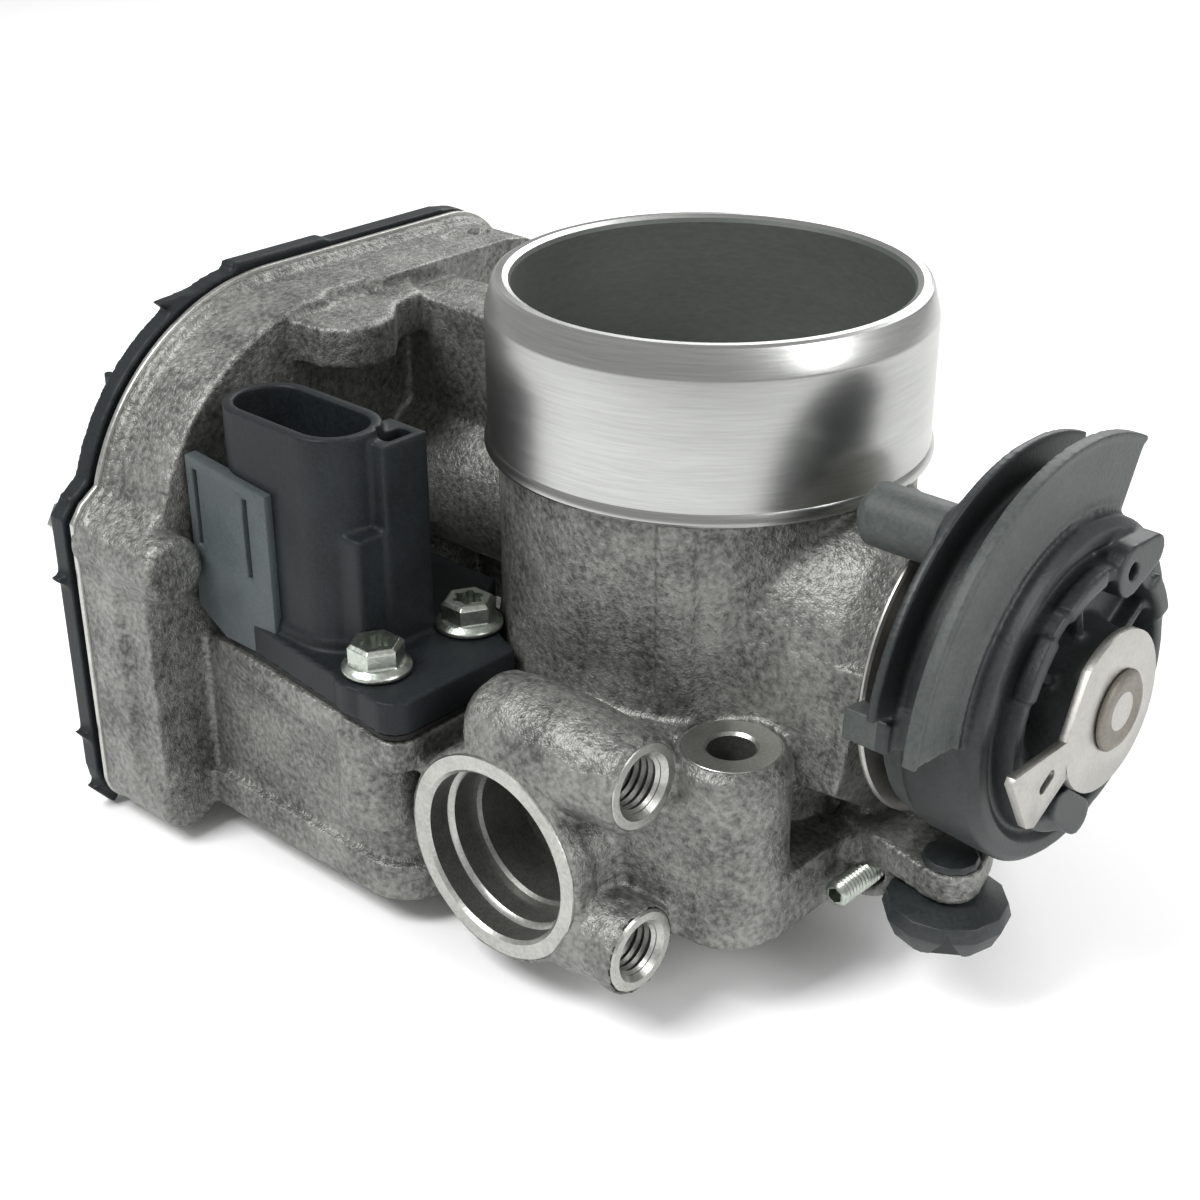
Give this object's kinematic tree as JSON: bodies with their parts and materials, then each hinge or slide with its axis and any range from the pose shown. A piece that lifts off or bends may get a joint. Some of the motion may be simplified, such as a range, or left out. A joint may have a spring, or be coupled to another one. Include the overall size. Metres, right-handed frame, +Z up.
{
  "type": "throttle body",
  "caption": "Cast aluminium throttle body with a cable pulley on one end of its shaft, and a plastic-covered gearcase with an idle positioner motor on the other.",
  "frame": {"origin": "on the air bore axis, in the machined face that bolts to the intake manifold", "axes": "+Z up the air bore towards the hose collar, +X along the throttle shaft towards the cable pulley, -Y towards the connector and the front port"},
  "size_m": [0.1526, 0.0997, 0.0908],
  "materials": {
    "cast_aluminium": "rough",
    "black_plastic": "matte",
    "grey_plastic": "matte",
    "gear_plastic": "satin",
    "rubber": "matte",
    "bright_steel": "satin",
    "zinc_steel": "satin",
    "brass": "satin",
    "sensor_board": "matte"
  },
  "bodies": {
    "housing": {"throttle_housing": "cast_aluminium", "gearcase_cover": "black_plastic", "cover_gasket": "rubber", "connector_block": "black_plastic", "connector_seal": "rubber", "shaft_bearing_left": "bright_steel", "shaft_seal_left": "rubber", "shaft_bearing_right": "bright_steel", "shaft_seal_right": "rubber", "spring_seat_plate": "bright_steel", "spring_bushing": "gear_plastic", "return_spring_outer": "bright_steel", "return_spring_inner": "bright_steel", "positioner_motor": "bright_steel", "motor_plate": "zinc_steel", "intermediate_gear_pin": "bright_steel", "sensor_board": "sensor_board", "idle_stop_screw": "zinc_steel", "adjuster_cap": "black_plastic", "cover_screw_1": "zinc_steel", "cover_screw_2": "zinc_steel", "cover_screw_3": "zinc_steel", "cover_screw_4": "zinc_steel", "connector_screw_1": "zinc_steel", "connector_screw_2": "zinc_steel", "motor_screw_1": "zinc_steel", "motor_screw_2": "zinc_steel", "terminal_1": "brass", "terminal_2": "brass", "terminal_3": "brass", "terminal_4": "brass", "terminal_5": "brass", "terminal_6": "brass", "terminal_7": "brass", "terminal_8": "brass"},
    "throttle_spindle": {"throttle_shaft": "bright_steel", "throttle_plate": "brass", "plate_screw_1": "bright_steel", "plate_screw_2": "bright_steel", "shaft_circlip": "bright_steel", "throttle_lever": "bright_steel", "sensor_wiper": "gear_plastic", "cable_pulley": "grey_plastic", "pulley_end_plate": "bright_steel"},
    "segment": {"positioner_segment": "gear_plastic"},
    "gear": {"intermediate_gear": "gear_plastic"},
    "pinion": {"motor_pinion": "brass"}
  },
  "joints": [
    {"name": "throttle_opening", "type": "hinge", "parent": "housing", "child": "throttle_spindle", "pos_m": [0, 0, 0.036], "axis": [-1, 0, 0], "range_deg": [0, 82], "stiffness_Nm_per_rad": 0.12, "springref_deg": -34.38},
    {"name": "positioner_travel", "type": "hinge", "parent": "housing", "child": "segment", "pos_m": [-0.068, 0, 0.036], "axis": [-1, 0, 0], "range_deg": [-18, 1]},
    {"name": "intermediate_spin", "type": "hinge", "parent": "housing", "child": "gear", "pos_m": [-0.066, -0.02937, 0.02988], "axis": [-1, 0, 0], "range_deg": [-4, 72]},
    {"name": "motor_spin", "type": "hinge", "parent": "housing", "child": "pinion", "pos_m": [-0.065, -0.0355, 0.01], "axis": [-1, 0, 0], "range_deg": [-240, 13.34]}
  ],
  "couplings": [
    {"joint": "intermediate_spin", "follows": "positioner_travel", "ratio": -4},
    {"joint": "motor_spin", "follows": "positioner_travel", "ratio": 13.333}
  ]
}
